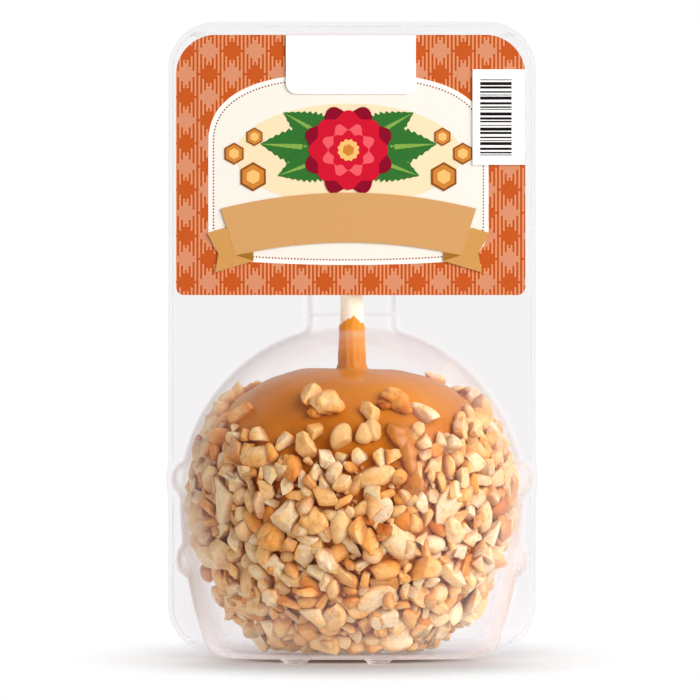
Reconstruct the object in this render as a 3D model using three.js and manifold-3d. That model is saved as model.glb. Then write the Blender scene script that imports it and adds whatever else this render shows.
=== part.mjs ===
// A caramel apple on a wooden stick, rolled in chopped peanuts, in a clear two-part retail pack
// with a printed label on its header.
// Millimetres. +X is to the right of the pack's front, +Y to its back, +Z up.
// The origin is on the surface that the pack stands on, under the axis of the stick.

import * as THREE from 'three';
import { mergeVertices } from 'three/addons/utils/BufferGeometryUtils.js';
import Module from 'manifold-3d';

const wasm = await Module();
wasm.setup();

// ---- Driving dimensions ----

const SHEET = 0.5; // thickness of the clear plastic
const GAP = 0.3; // clearance between pieces that lie together
const SEAM_Y = -3.5; // plane where the front and back shells meet

// Flange and header of the pack
const PACK_WIDTH = 83;
const BASE_Z = 1.2; // underside of the pack, which its feet hold up
const PACK_TOP = 144.2;
const TOP_CORNER = 10.8;
const BOTTOM_CORNER = 11.5;

// Dome round the apple: a globe above, flaring walls and a rounded square base below
const DOME_RADIUS = 38.8;
const DOME_CENTRE_Z = 37;
const WALL_ARC = 95; // radius of the walls' curve below the dome's widest level
const BASE_FILLET = 3;
const ROUND_ABOVE_Z = 28; // the dome's level sections are circles from here up
const BASE_SQUARENESS = 3.6; // exponent of the rounded square at the base

// Neck: a short collar in front, and behind it a channel for the stick
const NECK_HALF_WIDTH = 9.4;
const NECK_TAPER = 1.3; // how much narrower each side is at full depth
const NECK_ROUNDING = 1.8; // of its upright corners
const NECK_TOP_ROUNDING = 3; // of its closed upper end
const NECK_FROM_Z = 60;
const COLLAR_TOP = 78.4;
const COLLAR_DEPTH = 5;
const CHANNEL_TOP = 120;
const CHANNEL_DEPTH = 9;

// Lugs on the sides by the seam, and runner feet under the base
const LUG_HEIGHTS = [41, 22.8];
const LUG_RISE = 2; // how far a lug stands out of the dome
const LUG_HALF_DEPTH = 7;
const LUG_HALF_HEIGHT = 3.8;
const FOOT_CENTRES_X = [-12.7, 5.9];
const FOOT_WIDTH = 6.2;
const FOOT_FROM_SEAM = 5;
const FOOT_LENGTH = 19;

// Label
const LABEL_WIDTH = 78.8;
const LABEL_CENTRE_X = -0.3;
const LABEL_BOTTOM = 82.5;
const LABEL_TOP = 141.2;
const LABEL_TOP_CORNER = 9;
const LABEL_BOTTOM_CORNER = 1.8;
const LABEL_THICKNESS = 0.3;

// Apple, stick and peanuts
const STICK_RADIUS = 2.8;
const STICK_BOTTOM = 20;
const STICK_TOP = 115;
const STICK_EDGE = 0.5;
const CARAMEL_COLLAR_RADIUS = 3.7; // caramel that runs up the stick
const CARAMEL_COLLAR_TOP = 78;
const APPLE_RADIUS = 34.6;
const APPLE_LOBES = 5;
const LOBE_DEPTH = 0.35;
const NUT_LAYER = 2.4;
const NUT_RELIEF = 0.45;
const NUT_EDGE_Z = 52; // mean height of the coat's upper edge
const NUT_START = 0.03; // where the coat starts under the apple, as a share of the apple's line

// How finely round shapes are divided
const DOME_SIDES = 40;
const PANEL_CORNER_STEPS = 6;
const FOOT_END_STEPS = 5;
const APPLE_SIDES = 32;
const APPLE_POINTS = 18;
const COAT_LEVELS = 12;
const STICK_SIDES = 24;

// ---- Solids and geometries ----

/** A closed geometry as a solid that can be joined and cut. */
function toSolid(geometry) {
  const bare = geometry.clone();
  bare.deleteAttribute('normal');
  bare.deleteAttribute('uv');
  const merged = mergeVertices(bare, 1e-5);
  return new wasm.Manifold(
    new wasm.Mesh({
      numProp: 3,
      vertProperties: new Float32Array(merged.attributes.position.array),
      triVerts: new Uint32Array(merged.index.array),
    }),
  );
}

function toGeometry(solid) {
  const mesh = solid.getMesh();
  const geometry = new THREE.BufferGeometry();
  geometry.setAttribute('position', new THREE.BufferAttribute(mesh.vertProperties, 3));
  geometry.setIndex(new THREE.BufferAttribute(mesh.triVerts, 1));
  geometry.computeVertexNormals();
  return geometry;
}

function joined(geometries) {
  return geometries.map(toSolid).reduce((sum, solid) => sum.add(solid));
}

/**
 * A closed geometry through loops of points, all with the same count and turning
 * anticlockwise seen from the end that they lead to. Each end is closed by a fan.
 */
function loft(loops) {
  const count = loops[0].length;
  const points = loops.flat();
  const first = points.length;
  const last = first + 1;
  points.push(centreOf(loops[0]), centreOf(loops.at(-1)));
  const faces = [];
  for (let i = 0; i < count; i++) {
    const next = (i + 1) % count;
    faces.push(first, next, i);
    for (let level = 0; level < loops.length - 1; level++) {
      const low = level * count;
      const high = low + count;
      faces.push(low + i, low + next, high + next);
      faces.push(low + i, high + next, high + i);
    }
    const top = (loops.length - 1) * count;
    faces.push(last, top + i, top + next);
  }
  const geometry = new THREE.BufferGeometry().setFromPoints(points);
  geometry.setIndex(faces);
  geometry.computeVertexNormals();
  return geometry;
}

function centreOf(loop) {
  const sum = loop.reduce((total, point) => total.add(point), new THREE.Vector3());
  return sum.divideScalar(loop.length);
}

/** Values from start to end, both included. */
function steps(start, end, count) {
  return Array.from({ length: count + 1 }, (_, i) => start + ((end - start) * i) / count);
}

/** An upright rounded rectangle, centred on x, with its own radius at the top and bottom. */
function roundedPanel(width, bottom, top, bottomRadius, topRadius) {
  const half = width / 2;
  const shape = new THREE.Shape();
  shape.moveTo(-half + bottomRadius, bottom);
  shape.lineTo(half - bottomRadius, bottom);
  shape.absarc(half - bottomRadius, bottom + bottomRadius, bottomRadius, -Math.PI / 2, 0);
  shape.lineTo(half, top - topRadius);
  shape.absarc(half - topRadius, top - topRadius, topRadius, 0, Math.PI / 2);
  shape.lineTo(-half + topRadius, top);
  shape.absarc(-half + topRadius, top - topRadius, topRadius, Math.PI / 2, Math.PI);
  shape.lineTo(-half, bottom + bottomRadius);
  shape.absarc(-half + bottomRadius, bottom + bottomRadius, bottomRadius, Math.PI, Math.PI * 1.5);
  return shape;
}

/** A panel's outline made solid, with its front face at frontY. */
function uprightPlate(shape, thickness, frontY) {
  const geometry = new THREE.ExtrudeGeometry(shape, {
    depth: thickness,
    bevelEnabled: false,
    curveSegments: PANEL_CORNER_STEPS,
  });
  geometry.rotateX(Math.PI / 2);
  geometry.translate(0, frontY + thickness, 0);
  return geometry;
}

// ---- The clear pack ----

/** The dome's half width at a height. inset is how far inside the outer face it is measured. */
function domeRadius(z, inset) {
  const widest = DOME_RADIUS - inset;
  const rise = z - DOME_CENTRE_Z;
  if (rise > 0) {
    return Math.sqrt(Math.max(widest ** 2 - rise ** 2, 0));
  }
  const wall = widest - (WALL_ARC - Math.sqrt(WALL_ARC ** 2 - rise ** 2));
  const fillet = BASE_FILLET - inset;
  const belowFillet = Math.max(BASE_Z + BASE_FILLET - z, 0);
  return wall - (fillet - Math.sqrt(Math.max(fillet ** 2 - belowFillet ** 2, 0)));
}

/** The exponent of the dome's level section: 2 is a circle, more is squarer. */
function squareness(z) {
  const below = THREE.MathUtils.clamp((ROUND_ABOVE_Z - z) / (ROUND_ABOVE_Z - BASE_Z), 0, 1);
  return 2 + (BASE_SQUARENESS - 2) * below ** 1.4;
}

function roundedSquare(radius, exponent, z) {
  return Array.from({ length: DOME_SIDES }, (_, i) => {
    const angle = (i / DOME_SIDES) * Math.PI * 2;
    const x = Math.cos(angle);
    const y = Math.sin(angle);
    const reach = radius / (Math.abs(x) ** exponent + Math.abs(y) ** exponent) ** (1 / exponent);
    return new THREE.Vector3(x * reach, y * reach, z);
  });
}

function domeHeights(inset) {
  const fillet = BASE_FILLET - inset;
  const corner = steps(0, Math.PI / 2, 3).map((a) => BASE_Z + BASE_FILLET - fillet * Math.cos(a));
  const walls = steps(BASE_Z + BASE_FILLET, DOME_CENTRE_Z, 5).slice(1);
  const radius = DOME_RADIUS - inset;
  const globe = steps(0, Math.PI / 2, 8).slice(1, -1).map((a) => DOME_CENTRE_Z + radius * Math.sin(a));
  return [...corner, ...walls, ...globe];
}

function dome(inset) {
  return loft(
    domeHeights(inset).map((z) => roundedSquare(domeRadius(z, inset), squareness(z), z)),
  );
}

/** One level of the collar or channel: a trapezoid with round outer corners, from the seam to depth. */
function neckSection(depth, side, z, inset) {
  const wide = NECK_HALF_WIDTH - inset;
  const narrow = wide - NECK_TAPER;
  const rounding = Math.min(NECK_ROUNDING, depth / 2);
  const half = [new THREE.Vector2(wide, -SHEET)];
  for (const angle of steps(0, Math.PI / 2, 3)) {
    half.push(
      new THREE.Vector2(
        narrow - rounding * (1 - Math.cos(angle)),
        depth - rounding * (1 - Math.sin(angle)),
      ),
    );
  }
  const mirrored = half.map((p) => new THREE.Vector2(-p.x, p.y)).reverse();
  const loop = [...half, ...mirrored].map((p) => new THREE.Vector3(p.x, SEAM_Y + side * p.y, z));
  return side > 0 ? loop : loop.reverse();
}

/** The collar (side -1) or the channel (side 1), rounded over at its top. */
function neck(side, top, fullDepth, inset) {
  const depth = fullDepth - inset;
  const end = top - inset;
  const round = Math.min(NECK_TOP_ROUNDING, depth * 0.6);
  const loops = [neckSection(depth, side, NECK_FROM_Z, inset)];
  for (const angle of steps(0, Math.PI / 3, 3)) {
    const shrunk = depth - round * (1 - Math.cos(angle));
    loops.push(neckSection(shrunk, side, end - round + round * Math.sin(angle), inset));
  }
  return loft(loops);
}

/** Small hollow bumps on both sides of the dome, across the seam. */
function lugs(inset) {
  return LUG_HEIGHTS.flatMap((z) =>
    [-1, 1].map((side) => {
      const geometry = new THREE.SphereGeometry(1, 10, 6);
      geometry.scale(LUG_RISE - inset, LUG_HALF_DEPTH - inset, LUG_HALF_HEIGHT - inset);
      geometry.translate(side * (domeRadius(z, 0) - SHEET / 2), SEAM_Y, z);
      return geometry;
    }),
  );
}

/** Hollow runner feet under one half of the base. side is -1 in front of the seam and 1 behind it. */
function feet(side, inset) {
  const half = FOOT_WIDTH / 2 - inset;
  const near = FOOT_FROM_SEAM + inset;
  const far = FOOT_FROM_SEAM + FOOT_LENGTH - inset;
  return FOOT_CENTRES_X.map((x) => {
    const shape = new THREE.Shape();
    shape.absarc(0, near + half, half, Math.PI, 0);
    shape.absarc(0, far - half, half, 0, Math.PI);
    const geometry = new THREE.ExtrudeGeometry(shape, {
      depth: BASE_Z + BASE_FILLET / 2,
      bevelEnabled: false,
      curveSegments: FOOT_END_STEPS,
    });
    if (side < 0) {
      geometry.rotateZ(Math.PI);
    }
    geometry.translate(x, SEAM_Y, inset);
    return geometry;
  });
}

/** The half space on one side of a plane across y, as a large box. */
function halfSpace(side, planeY) {
  const size = 400;
  const box = new THREE.BoxGeometry(size, size, size);
  box.translate(0, planeY + (side * size) / 2, 0);
  return toSolid(box);
}

/** Everything that one shell encloses. inset 0 gives its outer face, and inset SHEET its inner. */
function shellBody(side, inset) {
  const pieces = [dome(inset), ...lugs(inset), ...feet(side, inset)];
  pieces.push(neck(1, CHANNEL_TOP, CHANNEL_DEPTH, inset));
  pieces.push(neck(-1, COLLAR_TOP, COLLAR_DEPTH, inset));
  return joined(pieces);
}

function shell(side) {
  const seamFace = SEAM_Y + (side * GAP) / 2;
  const frontY = side < 0 ? seamFace - SHEET : seamFace;
  const outline = roundedPanel(PACK_WIDTH, BASE_Z, PACK_TOP, BOTTOM_CORNER, TOP_CORNER);
  const flange = toSolid(uprightPlate(outline, SHEET, frontY));
  const outer = shellBody(side, 0).intersect(halfSpace(side, seamFace));
  return toGeometry(flange.add(outer).subtract(shellBody(side, SHEET)));
}

function label() {
  const frontY = SEAM_Y - GAP / 2 - SHEET - GAP - LABEL_THICKNESS;
  const outline = roundedPanel(
    LABEL_WIDTH,
    LABEL_BOTTOM,
    LABEL_TOP,
    LABEL_BOTTOM_CORNER,
    LABEL_TOP_CORNER,
  );
  const geometry = uprightPlate(outline, LABEL_THICKNESS, frontY);
  geometry.translate(LABEL_CENTRE_X, 0, 0);
  return geometry;
}

// ---- The apple ----

// The caramel's outer line from the middle of its base to the dimple round the stick, as
// distance from the axis and height.
const APPLE_LINE = new THREE.SplineCurve([
  new THREE.Vector2(0, 4.6),
  new THREE.Vector2(11, 4.4),
  new THREE.Vector2(19, 6.4),
  new THREE.Vector2(25.8, 12.4),
  new THREE.Vector2(30.4, 21),
  new THREE.Vector2(33.2, 29.5),
  new THREE.Vector2(APPLE_RADIUS, 38),
  new THREE.Vector2(33, 46),
  new THREE.Vector2(28.4, 55.5),
  new THREE.Vector2(20.5, 62.6),
  new THREE.Vector2(11.5, 66),
  new THREE.Vector2(6.2, 65.6),
  new THREE.Vector2(CARAMEL_COLLAR_RADIUS + 0.4, 66.4),
]);

/** The five soft lobes of an apple, strongest at its shoulders. */
function lobe(angle, z) {
  const shoulder = THREE.MathUtils.smoothstep(z, 30, 56) - THREE.MathUtils.smoothstep(z, 60, 66);
  return LOBE_DEPTH * shoulder * Math.cos(APPLE_LOBES * angle);
}

/** Turns a profile round the +Z axis. */
function turned(profile, sides) {
  const geometry = new THREE.LatheGeometry(profile, sides);
  geometry.rotateX(Math.PI / 2);
  return geometry;
}

function caramelApple() {
  const bore = STICK_RADIUS + GAP;
  const profile = APPLE_LINE.getPoints(APPLE_POINTS);
  profile.push(
    new THREE.Vector2(CARAMEL_COLLAR_RADIUS, 68.5),
    new THREE.Vector2(CARAMEL_COLLAR_RADIUS - 0.1, CARAMEL_COLLAR_TOP - 1),
    new THREE.Vector2(bore + 0.2, CARAMEL_COLLAR_TOP),
    new THREE.Vector2(bore, CARAMEL_COLLAR_TOP),
    new THREE.Vector2(bore, STICK_BOTTOM - GAP),
    new THREE.Vector2(0, STICK_BOTTOM - GAP),
  );
  const geometry = turned(profile, APPLE_SIDES);
  const position = geometry.attributes.position;
  for (let i = 0; i < position.count; i++) {
    const x = position.getX(i);
    const y = position.getY(i);
    const z = position.getZ(i);
    const radius = Math.hypot(x, y);
    if (radius > CARAMEL_COLLAR_RADIUS + 1) {
      const scale = 1 + lobe(Math.atan2(y, x), z) / radius;
      position.setXYZ(i, x * scale, y * scale, z);
    }
  }
  return geometry;
}

/** Uneven relief of the packed peanut pieces, from -1 to 1. */
function nutRelief(angle, along) {
  const coarse = Math.sin(13 * angle + 5 * along) * Math.sin(23 * along + 2 * angle);
  const fine = Math.sin(19 * angle - 31 * along) * Math.cos(7 * angle + 17 * along);
  return 0.6 * coarse + 0.4 * fine;
}

/** Where the coat ends, as a share of the apple's line: the edge climbs and dips round the apple. */
function coatEnd(angle) {
  const target = NUT_EDGE_Z + 1.6 * Math.sin(3 * angle + 0.6) + 1.1 * Math.sin(7 * angle);
  const shares = steps(0.5, 0.95, 90);
  return shares.find((share) => APPLE_LINE.getPoint(share).y >= target);
}

/** A point on the coat: height 0 is its inner face, and 1 its outer face. */
function coatPoint(share, angle, height) {
  const base = APPLE_LINE.getPoint(share);
  const along = APPLE_LINE.getTangent(share);
  const taper = Math.min(1, (coatEnd(angle) - share) * 14 + 0.35);
  const underside = 1 - 0.45 * THREE.MathUtils.smoothstep(15 - base.y, 0, 10);
  const layer = (NUT_LAYER * underside + NUT_RELIEF * nutRelief(angle, share)) * taper;
  const off = GAP + lobe(angle, base.y) + height * layer;
  const radius = base.x + along.y * off;
  const z = base.y - along.x * off;
  return new THREE.Vector3(radius * Math.cos(angle), radius * Math.sin(angle), z);
}

/** The layer of peanut pieces, as a closed cup with an uneven outer face and rim. */
function peanutCoat() {
  const ring = (step, height) =>
    Array.from({ length: APPLE_SIDES }, (_, i) => {
      const angle = (i / APPLE_SIDES) * Math.PI * 2;
      const share = NUT_START + (coatEnd(angle) - NUT_START) * (step / COAT_LEVELS);
      return coatPoint(share, angle, height);
    });
  const outer = steps(0, COAT_LEVELS, COAT_LEVELS).map((step) => ring(step, 1));
  const inner = steps(0, COAT_LEVELS, COAT_LEVELS).map((step) => ring(step, 0));
  return loft([...outer, ...inner.reverse()]);
}

/** The round wooden stick, its edges eased. */
function stick() {
  const profile = [
    new THREE.Vector2(0, STICK_BOTTOM),
    new THREE.Vector2(STICK_RADIUS - STICK_EDGE, STICK_BOTTOM),
    new THREE.Vector2(STICK_RADIUS, STICK_BOTTOM + STICK_EDGE),
    new THREE.Vector2(STICK_RADIUS, STICK_TOP - STICK_EDGE),
    new THREE.Vector2(STICK_RADIUS - STICK_EDGE, STICK_TOP),
    new THREE.Vector2(0, STICK_TOP),
  ];
  return turned(profile, STICK_SIDES);
}

// ---- The pack as a whole ----

function piece(name, geometry, colour, roughness) {
  const material = new THREE.MeshStandardMaterial({ color: colour, roughness, metalness: 0 });
  const mesh = new THREE.Mesh(geometry, material);
  mesh.name = name;
  return mesh;
}

const pack = new THREE.Group();
pack.add(piece('shell_front', shell(-1), 0xeef0f2, 0.1));
pack.add(piece('shell_back', shell(1), 0xeef0f2, 0.1));
pack.add(piece('label', label(), 0xcb5d26, 0.5));
pack.add(piece('caramel_apple', caramelApple(), 0xc88232, 0.25));
pack.add(piece('peanut_coat', peanutCoat(), 0xd5a271, 0.6));
pack.add(piece('stick', stick(), 0xe6c9a2, 0.7));

export default pack;
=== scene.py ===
"""A caramel apple rolled in chopped peanuts, on its stick in a clear retail pack.

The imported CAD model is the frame. Every piece here is made in millimetres in that frame and
turned into metres when its mesh is made.
"""

import math

import bmesh
import bpy
import numpy as np
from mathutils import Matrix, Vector


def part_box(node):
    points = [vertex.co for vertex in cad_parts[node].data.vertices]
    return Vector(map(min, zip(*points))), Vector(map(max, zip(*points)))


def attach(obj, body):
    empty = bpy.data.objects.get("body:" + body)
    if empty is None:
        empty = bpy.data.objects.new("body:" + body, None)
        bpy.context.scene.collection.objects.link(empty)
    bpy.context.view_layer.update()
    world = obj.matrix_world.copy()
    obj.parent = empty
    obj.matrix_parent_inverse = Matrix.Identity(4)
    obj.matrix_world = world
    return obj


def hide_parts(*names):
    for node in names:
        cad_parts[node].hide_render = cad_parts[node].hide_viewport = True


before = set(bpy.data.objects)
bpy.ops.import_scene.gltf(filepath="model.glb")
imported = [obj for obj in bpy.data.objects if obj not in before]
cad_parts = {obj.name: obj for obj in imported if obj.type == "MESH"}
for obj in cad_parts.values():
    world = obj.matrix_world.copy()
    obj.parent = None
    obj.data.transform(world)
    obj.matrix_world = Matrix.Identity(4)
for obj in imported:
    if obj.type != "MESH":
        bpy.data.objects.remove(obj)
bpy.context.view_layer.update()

MM = 0.001
WELD_MM = 0.004  # points closer than this are joined
BODY = "root"


def cad_box(node):
    """The lowest and highest corners of a CAD node, in millimetres."""
    low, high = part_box(node)
    return np.array(low) / MM, np.array(high) / MM


FRONT_HIGH = cad_box("shell_front")[1]
BACK_HIGH = cad_box("shell_back")[1]
APPLE_HIGH = cad_box("caramel_apple")[1]
LABEL_LOW, LABEL_HIGH = cad_box("label")
STICK_LOW, STICK_HIGH = cad_box("stick")

# ---- The pack's dimensions ----

SHEET = 0.45
GAP = 0.3
SEAM_Y = FRONT_HIGH[1] + GAP / 2
BASE_Z = 1.2
HALF_WIDTH = FRONT_HIGH[0]
PACK_TOP = FRONT_HIGH[2]
TOP_CORNER = 10.8
BOTTOM_CORNER = 11.5
FLANGE_FACE = 0.65  # from the seam plane to a flange's outer face

DOME_RADIUS = BACK_HIGH[1]
DOME_CENTRE_Z = 37.0
WALL_ARC = 95.0
BASE_FILLET = 3.0
ROUND_ABOVE_Z = 28.0
BASE_SQUARENESS = 3.6

NECK_HALF_WIDTH = 10.4
NECK_TAPER = 1.3
NECK_ROUNDING = 1.8
NECK_TOPS = {-1: 78.4, 1: 120.0}
NECK_DEPTHS = {-1: 5.0, 1: 9.0}

LUG_HEIGHTS = (41.0, 22.8)
LUG_RISE = 2.0
LUG_HALF_DEPTH = 7.0
LUG_HALF_HEIGHT = 3.8

FOOT_CENTRES_X = (-12.7, 5.9)
FOOT_WIDTH = 6.2
FOOT_FROM_SEAM = 5.0
FOOT_LENGTH = 19.0

BEAD_INSET = 1.1  # from the flange's edge to the middle of the bead along it
BEAD_HEIGHT = 0.3
BEAD_HALF_WIDTH = 0.5
FILLET_BLEND = 1.6  # how widely the pack's surfaces run into each other
LUG_BLEND = 0.8
RIPPLE = 0.06  # how far the sheet strays from its shape

# Where the points of the shells lie close together: how far in from the flange's edge, how far out
# from the dome's wall, how far down from the top, and the room that the first two need
RIM_BAND = 1.6
WALL_BAND = np.array([1.15, 0.8, 0.5, 0.25, 0.08])
TOP_BAND = 2.2
BANDS_ROOM = 2.9
POLE_DEPTH = 5.15  # how far behind the flange's face each level of points has its pole

# ---- The apple's dimensions ----

STICK_RADIUS = STICK_HIGH[0] - 0.15
COLLAR_RADIUS = 3.1
COLLAR_TOP = APPLE_HIGH[2]
APPLE_RADIUS = 34.6
APPLE_LINE = (
    (0, 4.6),
    (11, 4.4),
    (19, 6.4),
    (25.8, 12.4),
    (30.4, 21),
    (33.2, 29.5),
    (APPLE_RADIUS, 38),
    (33.2, 47),
    (28.7, 56),
    (20.8, 62.4),
    (11.5, 65.5),
    (6.2, 65.1),
    (COLLAR_RADIUS + 0.4, 66.0),
)
NUT_LIMIT = DOME_RADIUS - SHEET - 0.4  # no peanut reaches further from the axis
NUT_FLOOR = BASE_Z + SHEET + 0.25


# ---- Meshes ----


def new_object(name, points, faces, materials, smooth=True):
    """An object from points in millimetres and faces as lists of point numbers."""
    mesh = bpy.data.meshes.new(name)
    mesh.from_pydata((np.asarray(points, float) * MM).tolist(), [], faces)
    for material in materials:
        mesh.materials.append(material)
    mesh.polygons.foreach_set("use_smooth", [smooth] * len(mesh.polygons))
    mesh.validate()
    obj = bpy.data.objects.new(name, mesh)
    bpy.context.scene.collection.objects.link(obj)
    return obj


def place(obj, slot, *replaced):
    """Says what the piece rides on and which CAD nodes it stands for. slot, where its finish comes from,
    is not used.
    """
    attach(obj, BODY)
    if replaced:
        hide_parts(*replaced)


def grid_faces(rows, columns, closed=False):
    """Quads over a grid of points. closed joins the last column to the first."""
    r = np.arange(rows - 1)[:, None]
    c = np.arange(columns if closed else columns - 1)[None, :]
    n = (c + 1) % columns
    corners = (r * columns + c, r * columns + n, (r + 1) * columns + n, (r + 1) * columns + c)
    return np.stack(corners, axis=-1).reshape(-1, 4).tolist()


def weld(obj):
    """Joins points that all but meet, and makes the faces' sides agree."""
    bm = bmesh.new()
    bm.from_mesh(obj.data)
    bmesh.ops.remove_doubles(bm, verts=bm.verts, dist=WELD_MM * MM)
    bmesh.ops.dissolve_degenerate(bm, edges=bm.edges, dist=WELD_MM * MM)
    bmesh.ops.recalc_face_normals(bm, faces=bm.faces)
    bm.to_mesh(obj.data)
    bm.free()


def turned(radius, height, angle):
    """Points at these radii and heights round the stick's axis."""
    across = radius * np.cos(angle)
    return np.stack(np.broadcast_arrays(across, radius * np.sin(angle), height), axis=-1)


def catmull_rom(points, count):
    """count points on a smooth curve through points, evenly spaced along it."""
    p = np.array(points, float)
    p = np.vstack([2 * p[0] - p[1], p, 2 * p[-1] - p[-2]])
    fine = []
    for a, b, c, d in zip(p, p[1:], p[2:], p[3:]):
        t = np.linspace(0, 1, 40, endpoint=False)[:, None]
        line = 2 * b + (c - a) * t + (2 * a - 5 * b + 4 * c - d) * t**2
        fine.append((line + (3 * b - a - 3 * c + d) * t**3) / 2)
    fine = np.vstack([*fine, p[-2][None]])
    length = distances(fine)
    return points_at(fine, length, np.linspace(0, length[-1], count))


def distances(line):
    """How far along a line each of its points is."""
    return np.concatenate([[0], np.cumsum(np.hypot(*np.diff(line, axis=0).T))])


def points_at(line, length, at):
    """Points at these distances along a line."""
    return np.stack([np.interp(at, length, line[:, k]) for k in range(2)], axis=1)


def smoothstep(value, low, high):
    """A value that eases from 0 to 1 as another goes from low to high."""
    t = np.clip((value - low) / (high - low), 0, 1)
    return t * t * (3 - 2 * t)


def waves(points, scale, seed):
    """Smooth noise from -1 to 1 at points, with lumps about scale across."""
    rng = np.random.default_rng(seed)
    total = np.zeros(len(points))
    for _ in range(7):
        way = rng.normal(size=3)
        way *= rng.uniform(0.7, 1.6) * math.tau / (scale * 2 * np.linalg.norm(way))
        total += np.sin(points @ way + rng.uniform(0, math.tau))
    return total / 4


# ---- The clear pack ----


def dome_half_width(z):
    """The dome's half width below its widest level."""
    wall = DOME_RADIUS - (WALL_ARC - np.sqrt(WALL_ARC**2 - (z - DOME_CENTRE_Z) ** 2))
    below = np.clip(BASE_Z + BASE_FILLET - z, 0, BASE_FILLET)
    return wall - (BASE_FILLET - np.sqrt(BASE_FILLET**2 - below**2))


def dome_field(x, y, z):
    """About how far a point is outside the dome: a globe above, a rounded square wall below."""
    below = np.clip((ROUND_ABOVE_Z - z) / (ROUND_ABOVE_Z - BASE_Z), 0, 1)
    power = 2 + (BASE_SQUARENESS - 2) * below**1.4
    level = (np.abs(x) ** power + np.abs(y) ** power) ** (1 / power)
    low = np.minimum(z, DOME_CENTRE_Z)
    globe = np.sqrt(x**2 + y**2 + (z - DOME_CENTRE_Z) ** 2) - DOME_RADIUS
    return np.where(z > DOME_CENTRE_Z, globe, level - dome_half_width(low))


def neck_field(x, y, z, side):
    """How far a point is outside the collar in front (side -1) or the stick's channel behind (1)."""
    depth = side * (y - SEAM_Y)
    full = NECK_DEPTHS[side]
    half = NECK_HALF_WIDTH - NECK_TAPER * depth / full
    beyond = np.stack([np.abs(x) - half, depth - full, z - NECK_TOPS[side]]) + NECK_ROUNDING
    outside = np.linalg.norm(np.maximum(beyond, 0), axis=0)
    return outside + np.minimum(beyond.max(axis=0), 0) - NECK_ROUNDING


def lug_field(x, y, z, height):
    """About how far a point is outside the pair of lugs at this height."""
    centre = dome_half_width(height) if height < DOME_CENTRE_Z else DOME_RADIUS
    scaled = np.stack([
        (np.abs(x) - centre + SHEET) / (LUG_RISE + SHEET / 2),
        (y - SEAM_Y) / LUG_HALF_DEPTH,
        (z - height) / LUG_HALF_HEIGHT,
    ])
    return (np.linalg.norm(scaled, axis=0) - 1) * LUG_RISE


def joined(a, b, blend):
    """The union of two fields, with a fillet where they meet."""
    share = np.clip(0.5 + 0.5 * (b - a) / blend, 0, 1)
    return b + (a - b) * share - blend * share * (1 - share)


def shell_field(x, y, z, side):
    """About how far a point is outside one shell's outer face."""
    field = dome_field(x, y, z)
    for height in LUG_HEIGHTS:
        field = joined(field, lug_field(x, y, z, height), LUG_BLEND)
    field = joined(field, neck_field(x, y, z, side), FILLET_BLEND)
    flange = side * (y - SEAM_Y) - FLANGE_FACE
    return joined(field, flange, FILLET_BLEND)


def flange_half_width(z):
    """The half width of the flange's outline, round at its corners."""
    low = np.clip(BASE_Z + BOTTOM_CORNER - z, 0, BOTTOM_CORNER)
    high = np.clip(z - PACK_TOP + TOP_CORNER, 0, TOP_CORNER)
    cut = BOTTOM_CORNER - np.sqrt(BOTTOM_CORNER**2 - low**2)
    return HALF_WIDTH - cut - (TOP_CORNER - np.sqrt(TOP_CORNER**2 - high**2))


def edge_distance(x, z):
    """How far inside the flange's outline a point of it is."""
    corner = np.where(z > PACK_TOP / 2, TOP_CORNER, BOTTOM_CORNER)
    across = np.abs(x) - HALF_WIDTH + corner
    along = np.abs(z - (PACK_TOP + BASE_Z) / 2) - (PACK_TOP - BASE_Z) / 2 + corner
    outside = np.hypot(np.maximum(across, 0), np.maximum(along, 0))
    return corner - outside - np.minimum(np.maximum(across, along), 0)


def bisect(test, low, high):
    """Where test turns from False to True between low and high, for arrays of each."""
    for _ in range(34):
        middle = (low + high) / 2
        past = test(middle)
        high = np.where(past, middle, high)
        low = np.where(past, low, middle)
    return (low + high) / 2


def shell_levels():
    """Heights of the rows of points, closer together where the pack's shape turns."""
    stretches = (  # from, to and how many rows
        (BASE_Z + BASE_FILLET, 18, 14),
        (18, 46.5, 60),
        (46.5, 71, 26),
        (71, 80, 34),
        (80, 116, 18),
        (116, 121.5, 18),
        (121.5, PACK_TOP - TOP_CORNER, 8),
        (PACK_TOP - TOP_CORNER, PACK_TOP - TOP_BAND, 16),
        (PACK_TOP - TOP_BAND, PACK_TOP, 14),
    )
    fillet = [BASE_Z + BASE_FILLET * (1 - math.cos(a)) for a in np.linspace(0, math.pi / 2, 8)]
    levels = fillet[:-1]
    for low, high, count in stretches:
        levels.extend(np.linspace(low, high, count, endpoint=False))
    return np.array([*levels, PACK_TOP])


def shell_angles(z, side):
    """Directions of the points of each level, seen from its pole."""
    plane = 0 * z + SEAM_Y + side * FLANGE_FACE
    edge = flange_half_width(z)

    def outside(x):
        solid = np.minimum(dome_field(x, plane, z), neck_field(x, plane, z, side))
        for height in LUG_HEIGHTS:
            solid = np.minimum(solid, lug_field(x, plane, z, height))
        return solid > 0

    wall = np.clip(bisect(outside, 0 * z, 0 * z + HALF_WIDTH), NECK_HALF_WIDTH, edge - 0.01)
    wall, edge = wall[:, None], edge[:, None]
    squeeze = np.minimum(1, (edge - wall) / BANDS_ROOM)
    rim = edge - np.linspace(0, RIM_BAND, 11) * squeeze
    flat = np.arctan2(POLE_DEPTH, np.hstack([rim, wall + WALL_BAND * squeeze, wall]))
    rise = np.arctan2(POLE_DEPTH + WALL_BAND[::-1], wall)
    inner = rise[:, -1:] + (math.pi / 2 - rise[:, -1:]) * np.linspace(0, 1, 43)[1:]
    half = np.hstack([flat, rise, inner])
    return np.hstack([half, math.pi - half[:, -2::-1]])


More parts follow.
